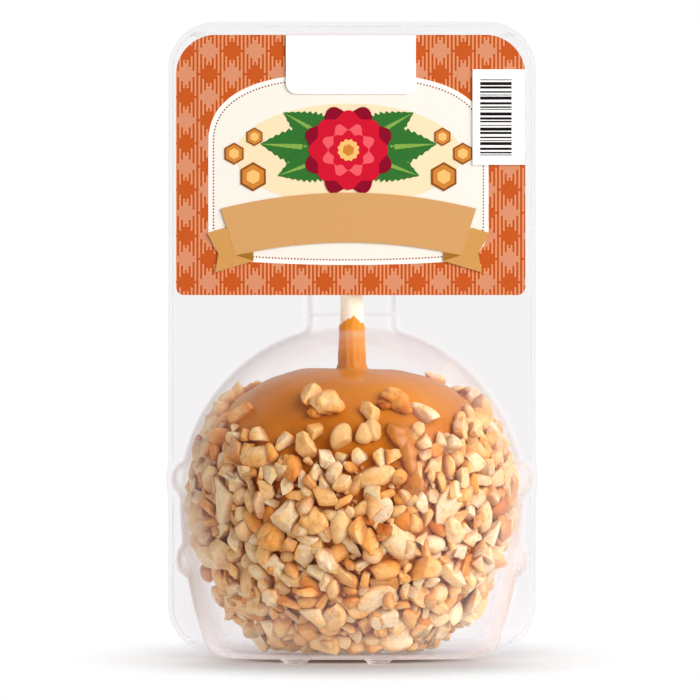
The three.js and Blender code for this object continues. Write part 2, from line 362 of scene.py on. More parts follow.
def shell_surface(side):
    """A grid of points over one shell's outer face, from its base up."""
    z = shell_levels()
    pole = SEAM_Y + side * (FLANGE_FACE - POLE_DEPTH)
    angle = shell_angles(z, side)
    level = np.broadcast_to(z[:, None], angle.shape)
    across, outward = np.cos(angle), side * np.sin(angle)

    def outside(r):
        return shell_field(r * across, pole + r * outward, level, side) > 0

    r = bisect(outside, 0 * angle, 0 * angle + 70)
    x, y = r * across, pole + r * outward
    bead = edge_distance(x, level) - BEAD_INSET
    y = y + side * BEAD_HEIGHT * np.clip(1 - (bead / BEAD_HALF_WIDTH) ** 2, 0, 1) ** 2
    return np.stack([x, y, level], axis=-1)


def foot_drop(x, y, side):
    """How far the base is pressed down into a foot."""
    depth = side * (y - SEAM_Y)
    half = FOOT_WIDTH / 2
    drop = 0 * x
    for centre in FOOT_CENTRES_X:
        near = FOOT_FROM_SEAM + half
        far = FOOT_FROM_SEAM + FOOT_LENGTH - half
        off = np.hypot(x - centre, depth - np.clip(depth, near, far))
        drop = np.maximum(drop, BASE_Z * (1 - smoothstep(off, half - 1, half + 0.1)))
    return drop


def base_surface(rim, side):
    """A fan of points over the flat base, from the seam's middle to its rim, with the feet pressed in."""
    seam = SEAM_Y + side * FLANGE_FACE
    rim = rim[side * (rim[:, 1] - seam) > 0.2]
    middle = np.array([0, seam, BASE_Z])
    points = middle + (rim - middle) * np.linspace(0, 1, 60)[:, None, None]
    points[..., 2] = BASE_Z - foot_drop(points[..., 0], points[..., 1], side)
    return points


def clear_shell(name, side, material):
    """One thermoformed half of the pack, as a sheet of even thickness."""
    walls = shell_surface(side)
    base = base_surface(walls[0], side)
    flat = np.concatenate([walls.reshape(-1, 3), base.reshape(-1, 3)])
    faces = grid_faces(*walls.shape[:2])
    faces += (np.array(grid_faces(*base.shape[:2])) + walls[..., 0].size).tolist()
    ripple = waves(flat, 16, 5 + side) * smoothstep(np.abs(flat[:, 1] - SEAM_Y), 1, 8)
    flat[:, 1] += side * RIPPLE * ripple
    flat[:, 2] = np.maximum(flat[:, 2], 0)
    obj = new_object(name, flat, faces, [material])
    weld(obj)
    thicken(obj, side)
    place(obj, "clear_plastic", name.replace("clear", "shell"))


def thicken(obj, side):
    """Gives a sheet its thickness, on the face towards the seam."""
    mesh = obj.data
    lean = sum(p.normal.y * p.area for p in mesh.polygons)
    if lean * side < 0:
        mesh.flip_normals()
    solidify = obj.modifiers.new("thickness", "SOLIDIFY")
    solidify.thickness = SHEET * MM
    solidify.offset = -1
    apply_modifiers(obj)


def apply_modifiers(obj):
    """Makes the mesh that the modifiers give the object's own."""
    graph = bpy.context.evaluated_depsgraph_get()
    mesh = bpy.data.meshes.new_from_object(obj.evaluated_get(graph))
    obj.modifiers.clear()
    obj.data = mesh


# ---- Materials ----


def srgb(red, green, blue):
    """A colour given as it looks on a screen, from 0 to 255, in linear light."""
    values = [c / 255 for c in (red, green, blue)]
    return tuple(c / 12.92 if c <= 0.04045 else ((c + 0.055) / 1.055) ** 2.4 for c in values) + (1,)


class Nodes:
    """The node tree of a material or a world, with short calls that add nodes."""

    def __init__(self, owner):
        owner.use_nodes = True
        self.tree = owner.node_tree

    def node(self, kind, settings=None, **inputs):
        """Adds a node. A node or socket given for an input is linked, and any other value is set."""
        made = self.tree.nodes.new(kind)
        for key, value in (settings or {}).items():
            setattr(made, key, value)
        self.fill(made, inputs)
        return made

    def fill(self, node, inputs):
        for key, value in inputs.items():
            self.feed(node.inputs[key.replace("_", " ")], value)

    def feed(self, socket, value):
        if isinstance(value, bpy.types.Node):
            value = value.outputs[0]
        if isinstance(value, bpy.types.NodeSocket):
            self.tree.links.new(value, socket)
        else:
            socket.default_value = value

    def chain(self, kind, settings, *values):
        """Adds a node whose first inputs are fed these values in turn."""
        made = self.node(kind, settings)
        for socket, value in zip(made.inputs, values):
            self.feed(socket, value)
        return made

    def math(self, operation, *values):
        return self.chain("ShaderNodeMath", {"operation": operation}, *values).outputs[0]

    def blend(self, share, first, second):
        """A shader between two others."""
        return self.chain("ShaderNodeMixShader", {}, share, first, second).outputs[0]

    def eased(self, value, start, end, low, high):
        """A value that eases from low to high as another goes from start to end."""
        settings = {"interpolation_type": "SMOOTHSTEP"}
        return self.chain("ShaderNodeMapRange", settings, value, start, end, low, high).outputs[0]


class Look(Nodes):
    """A material, with calls for what its surface needs."""

    def __init__(self, name):
        self.material = bpy.data.materials.new(name)
        super().__init__(self.material)
        self.shader = self.tree.nodes["Principled BSDF"]

    def mix(self, share, low, high, blend_type="MIX"):
        """A colour between low and high."""
        made = self.node("ShaderNodeMix", {"data_type": "RGBA", "blend_type": blend_type})
        self.feed(made.inputs[0], share)
        self.feed(made.inputs[6], low)
        self.feed(made.inputs[7], high)
        return made.outputs[2]

    def ramp(self, source, *stops):
        """Colours along a ramp, from (place, colour) pairs."""
        made = self.node("ShaderNodeValToRGB", Fac=source)
        elements = made.color_ramp.elements
        while len(elements) < len(stops):
            elements.new(0.5)
        for element, (at, colour) in zip(elements, stops):
            element.position = at
            element.color = colour
        return made.outputs[0]

    def noise(self, scale, detail, roughness=0.5, vector=None):
        """Noise with lumps about 1 / scale metres across."""
        where = vector or self.place()
        return self.node(
            "ShaderNodeTexNoise", Vector=where, Scale=scale, Detail=detail, Roughness=roughness
        ).outputs["Fac"]

    def place(self):
        return self.node("ShaderNodeTexCoord").outputs["Object"]

    def painted(self, name, output="Fac"):
        """What is painted on the mesh's points under this name."""
        return self.node("ShaderNodeAttribute", {"attribute_name": name}).outputs[output]

    def stretched(self, x, y, z):
        """Object coordinates, scaled along each axis."""
        return self.node("ShaderNodeMapping", Vector=self.place(), Scale=(x, y, z)).outputs[0]

    def bump(self, height, distance, strength):
        bump = self.node("ShaderNodeBump", Height=height, Distance=distance, Strength=strength)
        self.feed(self.shader.inputs["Normal"], bump)

    def set(self, **inputs):
        self.fill(self.shader, inputs)

    def cover(self, surface):
        """Puts another surface in the shader's place."""
        self.feed(self.tree.nodes["Material Output"].inputs["Surface"], surface)


def clear_plastic():
    """Clear sheet: see-through from the front, milky and glossy aslant, most of all low down."""
    look = Look("clear_plastic")
    haze = look.ramp(look.noise(45, 3), (0.3, (0.86, 0.85, 0.9, 1)), (0.7, (0.97, 0.96, 0.98, 1)))
    look.set(Base_Color=haze, Roughness=0.3, IOR=1.5)
    look.bump(look.noise(70, 2), 0.0006, 0.25)
    slant = look.node("ShaderNodeLayerWeight", Blend=0.5).outputs["Facing"]
    height = look.node("ShaderNodeSeparateXYZ", Vector=look.place()).outputs["Z"]
    edges = look.eased(height, 0.008, 0.05, 1.3, 0.35)
    faces = look.eased(height, 0.006, 0.024, 0.075, 0.005)
    milk = look.math("MULTIPLY_ADD", look.math("POWER", slant, 3.2), edges, faces)
    mirror = look.math("MULTIPLY_ADD", look.math("POWER", slant, 5), 0.45, 0.01)
    glow = look.node("ShaderNodeBsdfTranslucent", Color=(0.9, 0.92, 1, 1))
    through = look.node("ShaderNodeBsdfTransparent", Color=(0.981, 0.978, 0.982, 1))
    gloss = look.node("ShaderNodeBsdfAnisotropic", Color=(1, 1, 1, 1), Roughness=0.1)
    look.feed(gloss.inputs["Normal"], look.shader.inputs["Normal"].links[0].from_socket)
    sheet = look.blend(milk, through, look.blend(0.65, look.shader, glow))
    sheet = look.blend(mirror, sheet, gloss)
    lamps = look.node("ShaderNodeLightPath").outputs["Is Shadow Ray"]
    look.cover(look.blend(lamps, sheet, through))
    return look.material


def caramel():
    """Soft glossy caramel, with painted shade under the peanuts, paler where it is thin up the stick."""
    look = Look("caramel")
    stops = ((0.3, srgb(192, 108, 18)), (0.55, srgb(208, 124, 26)), (0.75, srgb(220, 140, 38)))
    # Painted shade: the caramel turns darker brown below the peanuts' edge.
    shade = look.mix(look.painted("painted_shade_under_nuts"), look.ramp(look.noise(55, 3), *stops), srgb(184, 100, 30))
    look.set(
        Base_Color=look.mix(look.painted("thin"), shade, srgb(230, 146, 42)),
        Roughness=0.3,
        Subsurface_Weight=0.25,
        Subsurface_Radius=(0.003, 0.0012, 0.0004),
        Subsurface_Scale=1.0,
        Specular_IOR_Level=0.25,
        Coat_Weight=0.3,
        Coat_Roughness=0.05,
        IOR=1.4,
    )
    look.bump(look.noise(160, 2), 0.0004, 0.35)
    return look.material


def glazed_peanut():
    """Peanut under a thin, streaky coat of caramel."""
    look = Look("glazed_peanut")
    streak = look.math("MULTIPLY", look.noise(260, 3), 0.6)
    look.set(
        Base_Color=look.mix(streak, look.painted("tint", "Color"), srgb(202, 122, 40)),
        Roughness=0.26,
        Subsurface_Weight=0.1,
        Subsurface_Radius=(0.002, 0.001, 0.0005),
        Subsurface_Scale=1.0,
        Coat_Weight=1.0,
        Coat_Roughness=0.07,
        IOR=1.42,
    )
    look.bump(look.noise(450, 3), 0.0006, 0.7)
    return look.material


def peanut():
    """Roasted peanut. The pieces' own colours come from their points, with fine mottling."""
    look = Look("peanut")
    speckle = look.noise(900, 3, 0.6)
    mottling = look.ramp(speckle, (0.3, (0.84, 0.7, 0.5, 1)), (0.5, (1, 1, 1, 1)))
    look.set(
        Base_Color=look.mix(1.0, look.painted("tint", "Color"), mottling, "MULTIPLY"),
        Roughness=look.math("ADD", look.math("MULTIPLY", speckle, 0.25), 0.25),
        Subsurface_Weight=0.4,
        Subsurface_Radius=(0.002, 0.0011, 0.0006),
        Subsurface_Scale=1.0,
        IOR=1.45,
    )
    look.bump(look.noise(1000, 4, 0.65), 0.0004, 0.7)
    return look.material


def stick_wood():
    """Plain birch dowel, its grain running along it."""
    look = Look("stick_wood")
    grain = look.noise(900, 3, 0.6, look.stretched(1, 1, 0.05))
    stops = ((0.3, srgb(250, 232, 204)), (0.55, srgb(255, 246, 228)), (0.8, srgb(255, 252, 240)))
    look.set(Base_Color=look.ramp(grain, *stops), Roughness=0.62)
    look.bump(grain, 0.0002, 0.6)
    return look.material


# ---- The label ----

LABEL_THICKNESS = 0.22
LABEL_FACE = LABEL_LOW[1]  # the printed face
INK = 0.02  # how far each printed layer stands out of the one under it
LABEL_TOP = LABEL_HIGH[2]
LABEL_CORNERS = (1.8, 9.0)  # radii of its lower and upper corners
CHECK_PITCH = 5.216
CHECK_START = (-0.97, 1.96)  # x and z of the middle of one salmon lozenge

ORANGE = srgb(192, 86, 33)
DARK_STRIPE = srgb(178, 78, 34)
SALMON = srgb(209, 140, 106)
PEACH = srgb(222, 143, 98)
INKS = {
    "ivory": (246, 244, 240),
    "panel": (238, 235, 227),
    "ribbon": (208, 158, 102),
    "tail": (205, 152, 86),
    "fold": (160, 110, 42),
    "white": (255, 255, 255),
    "brown": (150, 78, 52),
    "black": (26, 22, 24),
    "leaf": (50, 112, 48),
    "leaf_light": (128, 168, 74),
    "petal": (205, 22, 48),
    "petal_light": (234, 92, 100),
    "petal_dark": (136, 12, 40),
    "toffee": (205, 130, 54),
    "toffee_light": (240, 190, 112),
    "toffee_dark": (140, 78, 28),
    "tan": (240, 222, 184),
}
PRINT_FINISH = {"Roughness": 0.42, "Specular_IOR_Level": 0.2}


def ink(name, colour):
    """A flat printed colour, with the faint unevenness of ink on paper."""
    look = Look(name)
    shade = look.mix(look.noise(700, 2), tuple(0.96 * c for c in colour[:3]) + (1,), colour)
    look.set(Base_Color=shade, **PRINT_FINISH)
    return look.material


def gingham():
    """Orange and salmon lozenges in a chequer, each with stepped sides, over upright pinstripes."""
    look = Look("gingham")
    where = look.node("ShaderNodeSeparateXYZ", Vector=look.place())
    across, up = (
        look.math("DIVIDE", look.math("SUBTRACT", where.outputs[axis], start * MM), CHECK_PITCH * MM)
        for axis, start in zip("XZ", CHECK_START)
    )
    column = look.math("ROUND", across)
    row = look.math("ROUND", up)
    off_across = look.math("ABSOLUTE", look.math("SUBTRACT", across, column))
    off_up = look.math("ABSOLUTE", look.math("SUBTRACT", up, row))
    stepped = look.math("DIVIDE", look.math("ROUND", look.math("MULTIPLY", off_across, 12)), 12)
    reach = look.math("ADD", stepped, off_up)
    lozenge = look.math("LESS_THAN", reach, 0.47)
    odd = look.math("PINGPONG", look.math("ADD", column, row), 1)
    fine = look.math("FRACT", look.math("ADD", look.math("MULTIPLY", across, 6), 0.25))
    stripe = look.math("GREATER_THAN", fine, 0.5)
    stripes = look.mix(stripe, DARK_STRIPE, PEACH)
    look.set(Base_Color=look.mix(lozenge, stripes, look.mix(odd, SALMON, ORANGE)), **PRINT_FINISH)
    return look.material


def arc(centre, radius, start, end, count):
    """Points on an arc, its angles in degrees. radius may be a pair, for an ellipse."""
    turn = np.radians(np.linspace(start, end, count))
    return (np.stack([np.cos(turn), np.sin(turn)], axis=1) * radius + centre).tolist()


def rectangle(left, right, bottom, top):
    return [(left, bottom), (right, bottom), (right, top), (left, top)]


def rounded_outline(left, right, bottom, top, corners):
    """A rounded rectangle, anticlockwise from its lower left corner."""
    a, b = corners
    return [
        *arc((left + a, bottom + a), a, 180, 270, 12),
        *arc((right - a, bottom + a), a, 270, 360, 12),
        *arc((right - b, top - b), b, 0, 90, 24),
        *arc((left + b, top - b), b, 90, 180, 24),
    ]


def plate(outline, front, back, centre=None):
    """Points and faces of a plate. A centre makes its faces fans, for outlines that bend in."""
    count = len(outline)
    points = [(x, y, z) for y in (front, back) for x, z in outline]
    faces = [list(range(count)), list(range(count, 2 * count))[::-1]]
    if centre:
        rings, faces = faces, []
        for ring, y in zip(rings, (front, back)):
            faces += [[a, b, len(points)] for a, b in zip(ring, ring[1:] + ring[:1])]
            points.append((centre[0], y, centre[1]))
    for a in range(count):
        b = (a + 1) % count
        faces.append([b, a, a + count, b + count])
    return points, faces


class Print:
    """The label's printed fields: thin flat layers of ink, each on top of those before it."""

    def __init__(self):
        self.points, self.faces, self.shades = [], [], []
        self.materials = [ink("ink_" + name, srgb(*colour)) for name, colour in INKS.items()]
        self.layer = 0

    def rise(self):
        """Starts the next layer of ink."""
        self.layer += 1
        return self

    def field(self, outline, colour, centre=None):
        """A filled outline of (x, z) points, with a centre if it bends in."""
        points, faces = plate(outline, LABEL_FACE - INK * self.layer, LABEL_FACE + INK, centre)
        start = len(self.points)
        self.points += points
        self.faces += [[start + number for number in face] for face in faces]
        self.shades += [list(INKS).index(colour)] * len(faces)

    def mirrored(self, outline, colour, middle, centre=None):
        """The field and its mirror image across x = middle."""
        self.field(outline, colour, centre)
        other = (2 * middle - centre[0], centre[1]) if centre else None
        self.field([(2 * middle - x, z) for x, z in reversed(outline)], colour, other)

    def dots(self, line, colour):
        """Round dots evenly along a line of points."""
        line = np.array(line)
        length = distances(line)
        count = round(length[-1] / DOT_PITCH)
        places = np.linspace(0, length[-1], count, endpoint=False)
        for centre in points_at(line, length, places):
            self.field(arc(centre, DOT_RADIUS, 0, 315, 8), colour)

    def build(self):
        obj = new_object("label_print", self.points, self.faces, self.materials, smooth=False)
        obj.data.polygons.foreach_set("material_index", self.shades)
        place(obj, "printed_label")


DOT_PITCH = 0.72
DOT_RADIUS = 0.2
DOT_INSET = 1.15

PANEL_HALF_WIDTH = 31.6
PANEL_MIDDLE_X = -0.8
PANEL_SHOULDER = 116.5  # where the sides turn into the arch
PANEL_TOP = 132.5
PANEL_FOOT = 97.0  # where the sides turn into the bowed lower edge
PANEL_BOTTOM = 89.3


def panel_line(inset):
    """The cream panel's outline, anticlockwise: a bowed foot, upright sides and an arch above."""
    share = np.linspace(-1, 1, 61)
    foot = PANEL_BOTTOM + inset + 1.4 * share**2
    foot += (PANEL_FOOT - PANEL_BOTTOM - 2) * np.abs(share) ** 18
    turn = np.linspace(0, math.pi, 49)
    arch = PANEL_SHOULDER + (PANEL_TOP - inset - PANEL_SHOULDER) * np.sin(turn) ** 0.82
    across = np.concatenate([share, np.sign(np.cos(turn)) * np.abs(np.cos(turn)) ** 0.74])
    x = PANEL_MIDDLE_X + (PANEL_HALF_WIDTH - inset) * across
    return list(zip(x, np.concatenate([foot, arch])))


RIBBON_MIDDLE_X = -0.8
RIBBON_TOP, RIBBON_BOTTOM = 105.6, 94.4  # in its middle
RIBBON_HALF_TOP, RIBBON_HALF_BOTTOM = 28.8, 25.5
RIBBON_DROP_TOP, RIBBON_DROP_BOTTOM = 3.6, 2.9  # how much lower its ends are

# The left tail behind the ribbon, with its notch, and the dark fold that joins them
TAIL = ((-22.2, 90.2), (-22.4, 95), (-28.6, 97.7), (-32.7, 96.5), (-30.1, 91.9), (-30.9, 87.6))
TAIL_CENTRE = (-27.2, 93.2)
FOLD = ((-22.2, 90.2), (-22.3, 92.2), (-26.2, 91.5))


def ribbon_line(middle_z, half, drop):
    """One long edge of the ribbon, which bows down towards its ends."""
    share = np.linspace(-1, 1, 41)
    return list(zip(RIBBON_MIDDLE_X + half * share, middle_z - drop * share**2))


def label_ribbon(sheet):
    """The tan ribbon across the panel, with a folded tail at each end."""
    sheet.rise().mirrored(TAIL, "tail", RIBBON_MIDDLE_X, TAIL_CENTRE)
    sheet.rise().mirrored(FOLD, "fold", RIBBON_MIDDLE_X)
    sheet.rise()
    top = ribbon_line(RIBBON_TOP, RIBBON_HALF_TOP, RIBBON_DROP_TOP)
    bottom = ribbon_line(RIBBON_BOTTOM, RIBBON_HALF_BOTTOM, RIBBON_DROP_BOTTOM)
    for corners in zip(bottom, bottom[1:], top[1:], top):
        sheet.field(corners, "ribbon")


def turned_shape(points, centre, degrees, size):
    """Points turned about (0, 0), then scaled, then moved to a centre."""
    cos, sin = math.cos(math.radians(degrees)), math.sin(math.radians(degrees))
    return (np.array(points) @ [[cos, sin], [-sin, cos]] * size + centre).tolist()


def leaf_outline():
    """A toothed leaf from (0, 0) to (1, 0)."""
    share = np.linspace(0, 1, 30)
    tooth = 1 + 0.1 * (-1.0) ** np.arange(30)
    upper = [(s, 0.25 * t * math.sin(math.pi * s**0.8)) for s, t in zip(share, tooth)]
    return upper + [(x, -z) for x, z in reversed(upper[1:-1])]


def rosette(petals, depth):
    """A round outline with petals, of radius 1."""
    turn = np.linspace(0, math.tau, petals * 12, endpoint=False)
    radius = 1 - depth * np.abs(np.sin(petals * turn / 2 + math.pi / 2)) ** 2.2
    return [(r * math.cos(a), r * math.sin(a)) for a, r in zip(turn, radius)]


MOTIF_CENTRE = (-0.8, 115.2)
MOTIF_OVAL = (25.5, 11.5)  # half width and height of the pale field behind it
MOTIF_LEAVES = ((4, 20), (30, 17), (-20, 17))  # angle above level and length
MOTIF_HEXAGONS = ((21.5, -6.0, 3.3), (25.8, -0.8, 2.5), (21.2, 3.0, 2.1))  # out, up, radius
MOTIF_ROSETTE = (
    ("petal_dark", 10.4, 8, 0.2),
    ("petal", 9.0, 8, 0.16),
    ("petal_light", 6.2, 8, 0.26),
    ("petal", 4.5, 8, 0.2),
    ("toffee_light", 2.5, 12, 0.12),
    ("toffee", 1.3, 6, 0.1),
)


def label_motif(sheet):
    """A made-up ornament: a red rosette between leaves, with toffee-brown hexagons at each side."""
    cx, cz = MOTIF_CENTRE
    sheet.rise().field(arc((cx, cz - 1), MOTIF_OVAL, 0, 354, 60), "tan")
    for lift, length in MOTIF_LEAVES:
        hub = turned_shape([(0.5, 0)], MOTIF_CENTRE, lift, length)[0]
        for width, colour in ((1, "leaf"), (0.12, "leaf_light")):
            outline = [(x, z * width) for x, z in leaf_outline()]
            blade = turned_shape(outline, MOTIF_CENTRE, lift, length)
            sheet.rise().mirrored(blade, colour, cx, hub)
    for colour, share in (("toffee_dark", 1), ("toffee", 0.84), ("toffee_light", 0.5)):
        sheet.rise()
        for out, up, radius in MOTIF_HEXAGONS:
            sheet.mirrored(arc((cx + out, cz + up), radius * share, 30, 330, 6), colour, cx)
    for step, (colour, radius, petals, depth) in enumerate(MOTIF_ROSETTE):
        outline = turned_shape(rosette(petals, depth), MOTIF_CENTRE, 22.5 * step, radius)
        sheet.rise().field(outline, colour, MOTIF_CENTRE)


BARS_LEFT, BARS_RIGHT = 28.9, 36.0
BARS_BOTTOM, BARS_TOP = 114.0, 131.8
BAR_PATCH_LEFT, BAR_PATCH_BOTTOM, BAR_PATCH_TOP = 27.2, 111.9, 133.4
BLANK_LEFT, BLANK_RIGHT, BLANK_BOTTOM = -14.9, 14.4, 127.9
BLANK_CORNERS = (2.4, 0.05)


def label_bars(sheet):
    """A white patch at the right edge, with a plain stack of bars of mixed thickness."""
    right = LABEL_HIGH[0] - 0.05
    patch = rectangle(BAR_PATCH_LEFT, right, BAR_PATCH_BOTTOM, BAR_PATCH_TOP)
    sheet.rise().field(patch, "white")
    sheet.rise()
    z, step = BARS_BOTTOM, 0
    while z < BARS_TOP - 0.6:
        top = z + 0.2 + 0.17 * ((step * 5) % 4)
        sheet.field(rectangle(BARS_LEFT, BARS_RIGHT, z, top), "black")
        z = top + 0.24 + 0.16 * ((step * 7) % 3)
        step += 1


def label_print():
    """All that is printed on the card, over its checks."""
    sheet = Print()
    hub = (PANEL_MIDDLE_X, PANEL_SHOULDER - 8)
    sheet.rise().field(panel_line(0), "ivory", hub)
    line = panel_line(DOT_INSET)
    sheet.rise().field(line, "panel", hub)
    sheet.rise().dots(line + line[:1], "brown")
    label_motif(sheet)
    label_ribbon(sheet)
    top = LABEL_TOP - 0.1
    blank = rounded_outline(BLANK_LEFT, BLANK_RIGHT, BLANK_BOTTOM, top, BLANK_CORNERS)
    sheet.rise().field(blank, "white")
    label_bars(sheet)
    sheet.build()


def label_card():
    """The card itself: checked in front, white behind and at its edge."""
    outline = rounded_outline(LABEL_LOW[0], LABEL_HIGH[0], LABEL_LOW[2], LABEL_TOP, LABEL_CORNERS)
    points, faces = plate(outline, LABEL_FACE, LABEL_FACE + LABEL_THICKNESS)
    paper = ink("label_paper", srgb(250, 250, 248))
    obj = new_object("label_card", points, faces, [gingham(), paper], smooth=False)
    obj.data.polygons.foreach_set("material_index", [0] + [1] * (len(faces) - 1))
    place(obj, "printed_label", "label")


# ---- The apple and its stick ----


def apple_rows(count):
    """Radius, height and outward normal at count places along the caramel's outer line."""
    line = catmull_rom(APPLE_LINE, count)
    along = np.gradient(line, axis=0)
    along /= np.linalg.norm(along, axis=1)[:, None]
    return line, np.stack([along[:, 1], -along[:, 0]], axis=1)


def lobes(angle, z):
    """The five soft lobes at an apple's shoulders."""
    shoulder = smoothstep(z, 30, 56) - smoothstep(z, 60, 66)
    return 0.35 * shoulder * np.cos(5 * angle)


CARAMEL_MOUNDS = (((12.0, -29.5, 50.4), 4.2, 1.6), ((0.2, -31.0, 52.2), 4.5, 0.8))
CROWN_LEAN = -0.014  # how much the crown rises for each millimetre to the right, so it falls
CROWN_Z = 65.0  # above this the apple's outer line has turned in over the crown


def apple_lumps(points):
    """Slow unevenness of the caramel's surface, its leaning crown and the mounds over kernels."""
    lump = 0.28 * waves(points, 14, 21) + 0.1 * waves(points, 5, 22)
    lump += CROWN_LEAN * points[:, 0] * smoothstep(points[:, 2], 40, 60)
    for centre, radius, height in CARAMEL_MOUNDS:
        away = np.linalg.norm(points - centre, axis=1)
        lump += height * np.exp(-((away / radius) ** 2))
    return lump


def caramel_apple(material):
    """The caramel's skin over the apple, with the collar that it drew up the stick."""
    line, normal = apple_rows(180)
    angle = np.linspace(0, math.tau, 260, endpoint=False)
    radius, height = line[:, :1], line[:, 1:]
    even = turned(radius, height, angle)
    lump = apple_lumps(even.reshape(-1, 3)).reshape(even.shape[:2])
    off = lobes(angle, height) + lump * smoothstep(radius, COLLAR_RADIUS + 0.5, 12)
    skin = turned(radius + off * normal[:, :1], height + off * normal[:, 1:], angle)
    points = np.concatenate([skin, collar_rows(angle, line[-1])])
    faces = grid_faces(*points.shape[:2], closed=True)
    obj = new_object("caramel_skin", points.reshape(-1, 3), faces, [material])
    weld(obj)
    places = np.array([v.co for v in obj.data.vertices]) / MM
    edge = np.array([nut_edge(a) for a in np.arctan2(places[:, 1], places[:, 0])])
    # Painted shade on the caramel below the peanuts' edge, and where the caramel is thin up the stick
    paint(obj, "painted_shade_under_nuts", smoothstep(edge - places[:, 2], 0, 6))
    paint(obj, "thin", smoothstep(places[:, 2], 66, 72))
    place(obj, "caramel", "caramel_apple")


def paint(obj, name, values):
    """Gives each point of a mesh a value that its material can read."""
    layer = obj.data.attributes.new(name, "FLOAT", "POINT")
    layer.data.foreach_set("value", values)


def collar_rows(angle, start):
    """Caramel that climbs the stick and thins out to an uneven edge, highest in front."""
    tongue = np.clip(np.cos(angle + 1.5), 0, 1) ** 3
    teeth = 0.45 * np.abs(np.sin(3.5 * angle)) + 0.2 * np.sin(13 * angle + 1)
    top = COLLAR_TOP - 2.4 + 1.8 * tongue + teeth
    inner = STICK_RADIUS - 0.12
    rows = []
    for share in np.linspace(0, 1, 40)[1:]:
        flare = (start[0] - COLLAR_RADIUS) * (1 - smoothstep(share, 0, 0.14)) ** 1.5
        swell = 0.05 * np.sin(2 * angle + 7 * share) + 0.05 * np.sin(12 * angle + 2 * share)
        close = np.sqrt(max(1 - max(share - 0.92, 0) ** 2 / 0.0064, 0))
        thickness = COLLAR_RADIUS + flare + swell - inner
        radius = inner + thickness * close * (1 - 0.3 * smoothstep(share, 0.2, 1))
        height = start[1] + (top - start[1]) * share
        rows.append(turned(radius, height, angle))
    return np.array(rows)


def wooden_stick(material):
    """The dowel, with eased ends and a slightly uneven girth."""
    ease = 0.5
    ends = [(STICK_RADIUS - 1.6, 0), (STICK_RADIUS - ease, 0)]
    ends += [(STICK_RADIUS - 0.15, 0.15), (STICK_RADIUS, ease)]
    low = [(r, STICK_LOW[2] + h) for r, h in ends]
    high = [(r, STICK_HIGH[2] - h) for r, h in reversed(ends)]
    middle = [(STICK_RADIUS, z) for z in np.linspace(low[-1][1], high[0][1], 40)[1:-1]]
    profile = np.array(low + middle + high)
    angle = np.linspace(0, math.tau, 48, endpoint=False)
    girth = 1 - 0.012 * (1 + np.sin(3 * angle + profile[:, 1:] / 9)) / 2
    points = turned(profile[:, :1] * girth, profile[:, 1:], angle).reshape(-1, 3)
    faces = grid_faces(len(profile), len(angle), closed=True)
    faces.append(list(range(len(angle)))[::-1])
    faces.append(list(range(len(points) - len(angle), len(points))))
    obj = new_object("wooden_stick", points, faces, [material])
    place(obj, "stick_wood", "stick")


# ---- Chopped peanuts ----

CREAM = np.array(srgb(250, 226, 190)[:3])
GOLDEN = np.array(srgb(250, 204, 140)[:3])
TAN = np.array(srgb(242, 172, 88)[:3])
ROASTED = np.array(srgb(214, 124, 44)[:3])
DARK = np.array(srgb(150, 78, 30)[:3])
STAIN_AND_SHADE = np.array(srgb(194, 106, 34)[:3])  # caramel round the foot of each piece, and painted shade on its lower sides
STAIN_AND_SHADE_HEIGHT = 2.2
BITE_DEPTH = 0.1  # for a piece of radius 1
WOBBLE = 0.012  # how uneven its faces are


def ball(subdivisions):
    """Points and triangles of a unit ball."""
    bm = bmesh.new()
    bmesh.ops.create_icosphere(bm, subdivisions=subdivisions, radius=1)
    points = np.array([v.co for v in bm.verts])
    faces = [[v.index for v in f.verts] for f in bm.faces]
    bm.free()
    return points, faces


def unit_vectors(rng, count):
    v = rng.normal(size=(count, 3))
    return v / np.linalg.norm(v, axis=1)[:, None]


def cut_ball(ways, planes, depths, sharpness):
    """A ball of radius 1 cut by planes at these depths, with eased edges."""
    reach = np.clip(ways @ planes.T, 0, None) / depths
    radius = (1 + (reach**sharpness).sum(axis=1)) ** (-1 / sharpness)
    return ways * radius[:, None]


def chipped(rng, points):
    """Takes a small shallow bite out of a shape, where it broke."""
    way = unit_vectors(rng, 1)[0]
    size = rng.uniform(0.25, 0.5)
    away = np.linalg.norm(points - way * rng.uniform(0.75, 0.95), axis=1)
    dent = BITE_DEPTH * smoothstep(size - away, 0, 0.6 * size)
    return points - way * dent[:, None]


def chunk(rng, ways):
    """A chopped piece with several broken faces, and often some of the kernel's round side."""
    planes = unit_vectors(rng, rng.integers(7, 12))
    depths = rng.uniform(0.32, 0.66, len(planes))
    return chipped(rng, cut_ball(ways, planes, depths, rng.uniform(40, 100)))


def half_kernel(rng, ways):
    """Part of half a kernel: domed on one side, and hollowed a little on the other."""
    planes = np.array([[0, 0, -1], [0.97, 0.2, 0.1], [-0.8, 0.5, 0.3]])
    depths = np.array([0.2, rng.uniform(0.5, 1.0), rng.uniform(0.6, 1.0)])
    points = cut_ball(ways, planes, depths, 50)
    under = smoothstep(-points[:, 2], 0.08, 0.18)
    groove = np.exp(-((points[:, 1] / 0.34) ** 2) - (points[:, 0] / 0.7) ** 2)
    points[:, 2] += 0.1 * under * groove
    points[:, 1] *= 1 - 0.22 * points[:, 0]
    return points


def slice_of_kernel(rng, ways):
    """A flat slice across a kernel, with its round rim broken off at one or two places."""
    planes = np.vstack([[0, 0.1, 1], [0.1, 0, -1], unit_vectors(rng, 2) * [1, 1, 0.15]])
    planes /= np.linalg.norm(planes, axis=1)[:, None]
    depths = np.concatenate([rng.uniform(0.16, 0.34, 2), rng.uniform(0.45, 0.8, 2)])
    return cut_ball(ways, planes, depths, 50)


